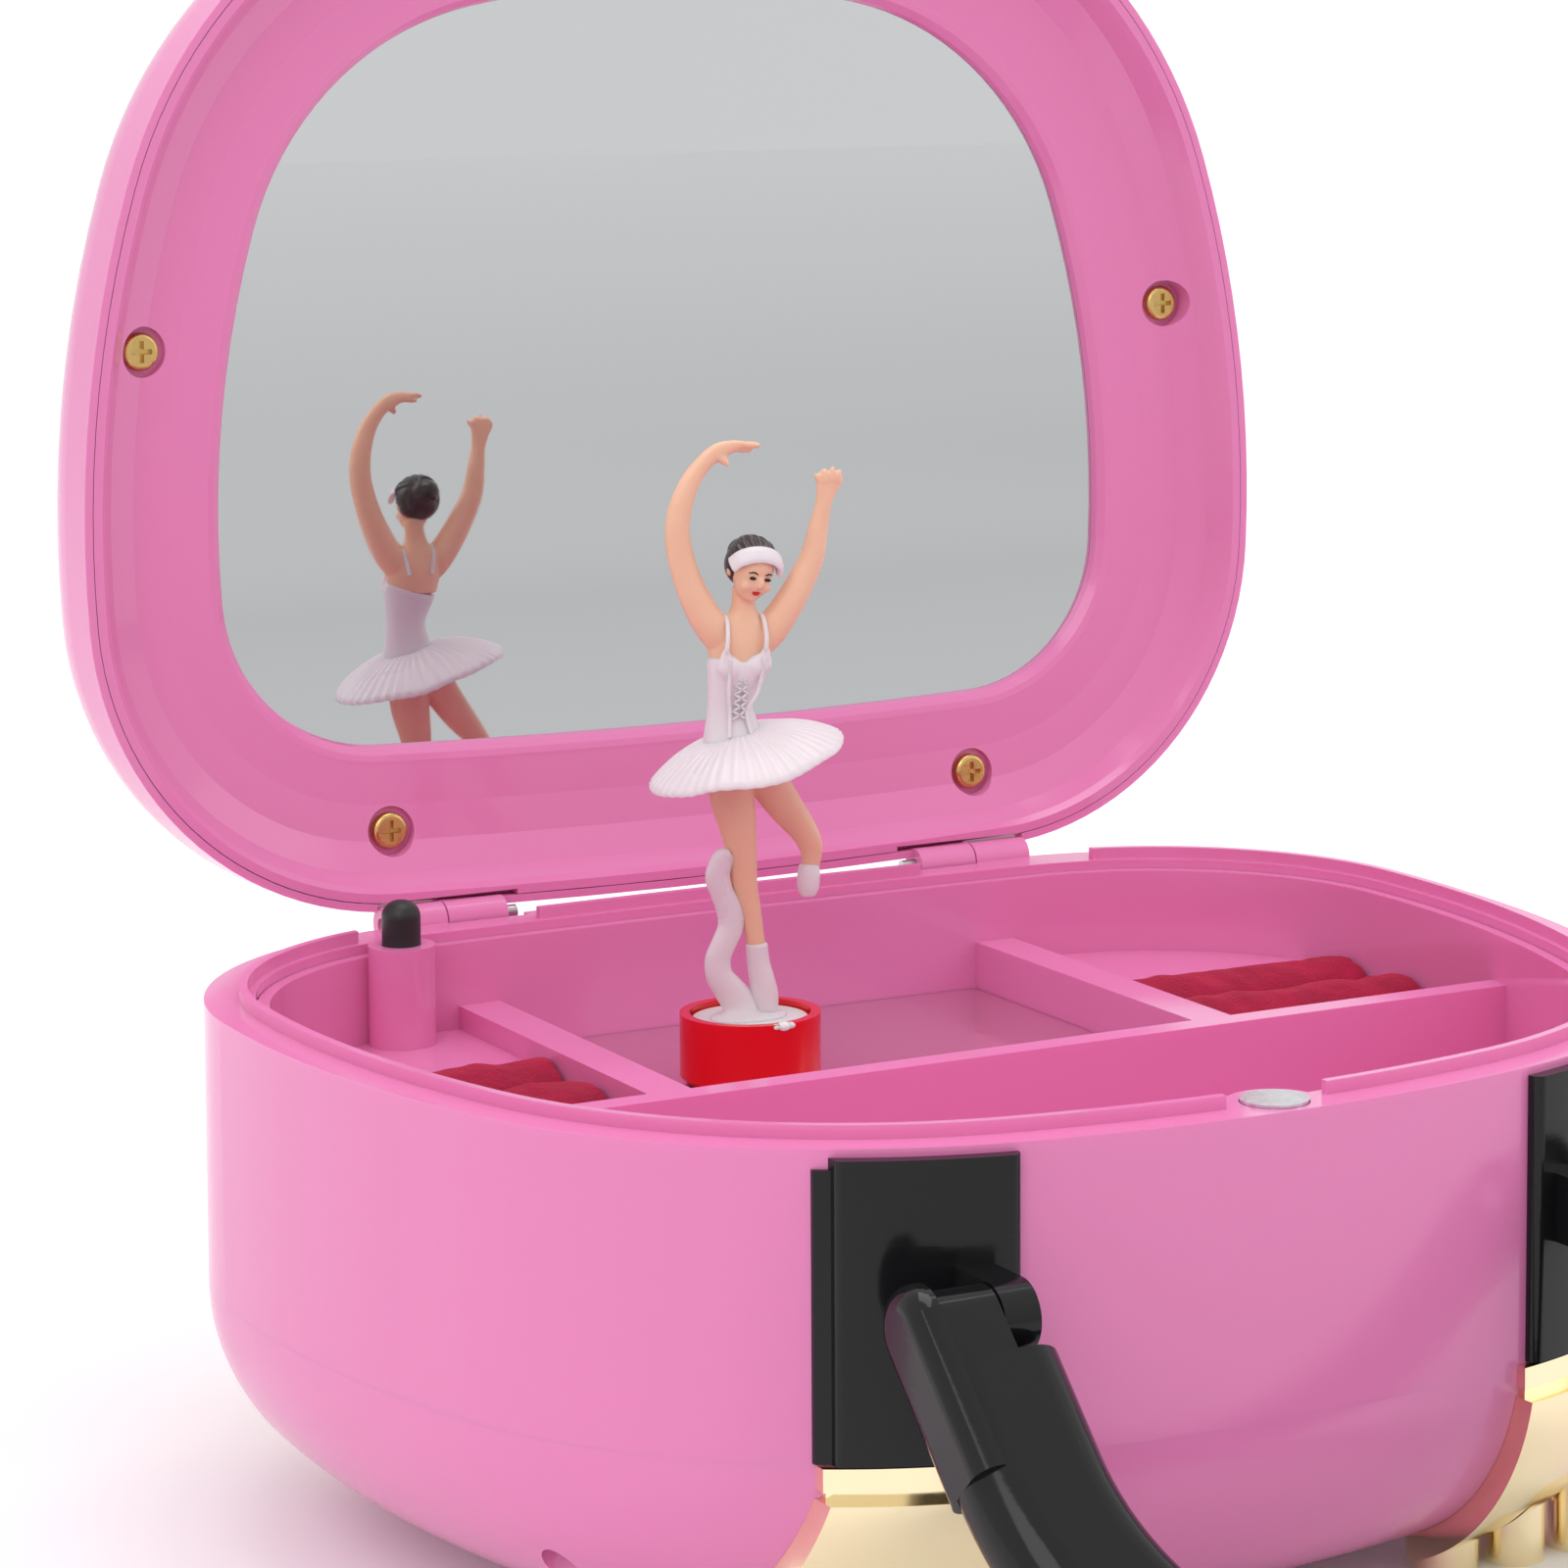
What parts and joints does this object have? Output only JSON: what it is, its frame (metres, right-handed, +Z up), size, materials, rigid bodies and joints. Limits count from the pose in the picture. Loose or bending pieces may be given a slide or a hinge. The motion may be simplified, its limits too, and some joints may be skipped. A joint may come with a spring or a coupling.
{
  "type": "ballerina jewellery box",
  "caption": "Handbag-shaped musical jewellery box with a mirror lid, lined tray, swinging handle and a magnetic ballerina turned by a wind-up movement.",
  "frame": {"origin": "on the table, under the middle of the bounding box of the base's outline seen from above (handle and open lid left out)", "axes": "+Z up, +X along the hinge line to the right, +Y from the handle side to the hinge side"},
  "size_m": [0.1642, 0.2104, 0.1967],
  "materials": {
    "gloss_pink": "polished opaque pink injection-moulded plastic",
    "gloss_black": "polished black injection-moulded plastic",
    "satin_black": "satin black moulded plastic",
    "mirror_pink": "thin reflective sheet with a dull pink tint",
    "red_velvet": "short-pile dark red flock",
    "mirror_glass": "flat silvered mirror",
    "gilt": "bright gold plating on plastic",
    "screw_gilt": "yellow-passivated screw",
    "bright_steel": "bright steel pin",
    "spring_steel": "bare spring steel",
    "magnet_metal": "nickel-plated magnet or keeper",
    "movement_brass": "plain machined brass",
    "doll_skin": "painted soft plastic doll",
    "pearl_white": "pearly translucent white moulded plastic with fine pleats",
    "red_plastic": "glossy red plastic",
    "satin_white": "satin white plastic"
  },
  "bodies": {
    "base": {"base_shell": "gloss_pink", "catch_magnet": "magnet_metal", "hinge_pins": "bright_steel", "bottom_shell": "gloss_pink", "base_screws": "screw_gilt", "inner_tray": "gloss_pink", "stage_panel": "mirror_pink", "left_ring_cushion": "red_velvet", "right_ring_cushion": "red_velvet", "spring_cup": "gloss_pink", "plunger_spring": "spring_steel", "left_strap_panel": "gloss_black", "right_strap_panel": "gloss_black", "front_left_foot": "gilt", "front_right_foot": "gilt", "rear_left_foot": "gilt", "rear_right_foot": "gilt", "handle_pins": "bright_steel", "movement_bedplate": "movement_brass", "movement_screws": "bright_steel", "cylinder_bearings": "movement_brass", "music_comb": "spring_steel", "comb_block": "movement_brass", "governor_bracket": "bright_steel"},
    "plunger": {"lid_stop_plunger": "satin_black"},
    "lid": {"lid_shell": "gloss_pink", "lid_frame": "gloss_pink", "mirror": "mirror_glass", "mirror_retainer": "satin_black", "lid_catch_plate": "magnet_metal", "lid_screws": "screw_gilt"},
    "handle_grip": {"handle": "gloss_black"},
    "barrel": {"spring_barrel": "movement_brass"},
    "turntable": {"turntable_shaft": "movement_brass", "drive_magnet": "magnet_metal"},
    "key": {"winding_arbor": "bright_steel", "winding_key": "bright_steel"},
    "cylinder": {"music_cylinder": "movement_brass"},
    "governor": {"governor_fan": "movement_brass"},
    "dancer_carrier": {"cup_magnet": "magnet_metal"},
    "dancer": {"magnet_cup": "red_plastic", "dancer_disc": "satin_white", "dancer_figure": "doll_skin", "dancer_tutu": "pearl_white", "dancer_ribbon": "pearl_white"}
  },
  "joints": [
    {"name": "lid_hinge", "type": "hinge", "parent": "base", "child": "lid", "pos_m": [0, 0.06797, 0.0615], "axis": [1, 0, 0], "range_deg": [0, 91.4]},
    {"name": "dancer_stow", "type": "hinge", "parent": "base", "child": "dancer_carrier", "pos_m": [-0.015, 0.02, 0.04955], "axis": [1, 0, 0], "range_deg": [0, 90]},
    {"name": "dancer_spin", "type": "hinge", "parent": "dancer_carrier", "child": "dancer", "pos_m": [-0.015, 0.02845, 0.04645], "axis": [0, 0, 1], "continuous": true},
    {"name": "turntable_spin", "type": "hinge", "parent": "base", "child": "turntable", "pos_m": [-0.015, 0.02845, 0.03], "axis": [0, 0, 1], "continuous": true},
    {"name": "barrel_turn", "type": "hinge", "parent": "base", "child": "barrel", "pos_m": [0.0018, 0.02845, 0.02], "axis": [0, 0, 1], "continuous": true},
    {"name": "cylinder_turn", "type": "hinge", "parent": "base", "child": "cylinder", "pos_m": [0.0223, 0.02845, 0.0255], "axis": [0, 1, 0], "continuous": true},
    {"name": "governor_spin", "type": "hinge", "parent": "base", "child": "governor", "pos_m": [0.0243, 0.00945, 0.02], "axis": [0, 0, 1], "continuous": true},
    {"name": "key_turn", "type": "hinge", "parent": "base", "child": "key", "pos_m": [0.0018, 0.02845, 0.01], "axis": [0, 0, 1], "continuous": true},
    {"name": "plunger_press", "type": "slide", "parent": "base", "child": "plunger", "axis": [0, 0, 1], "range_m": [-0.0045, 0], "stiffness_N_per_m": 150, "springref_m": 0.002, "deforming": ["plunger_spring"]},
    {"name": "handle_swing", "type": "hinge", "parent": "base", "child": "handle_grip", "pos_m": [0, -0.07034, 0.0457], "axis": [-1, 0, 0], "range_deg": [0, 130]}
  ],
  "couplings": [
    {"joint": "dancer_stow", "follows": "lid_hinge", "ratio": 0.98},
    {"joint": "dancer_spin", "follows": "barrel_turn", "ratio": -2},
    {"joint": "turntable_spin", "follows": "barrel_turn", "ratio": -2},
    {"joint": "cylinder_turn", "follows": "barrel_turn", "ratio": 1},
    {"joint": "governor_spin", "follows": "barrel_turn", "ratio": 12}
  ]
}
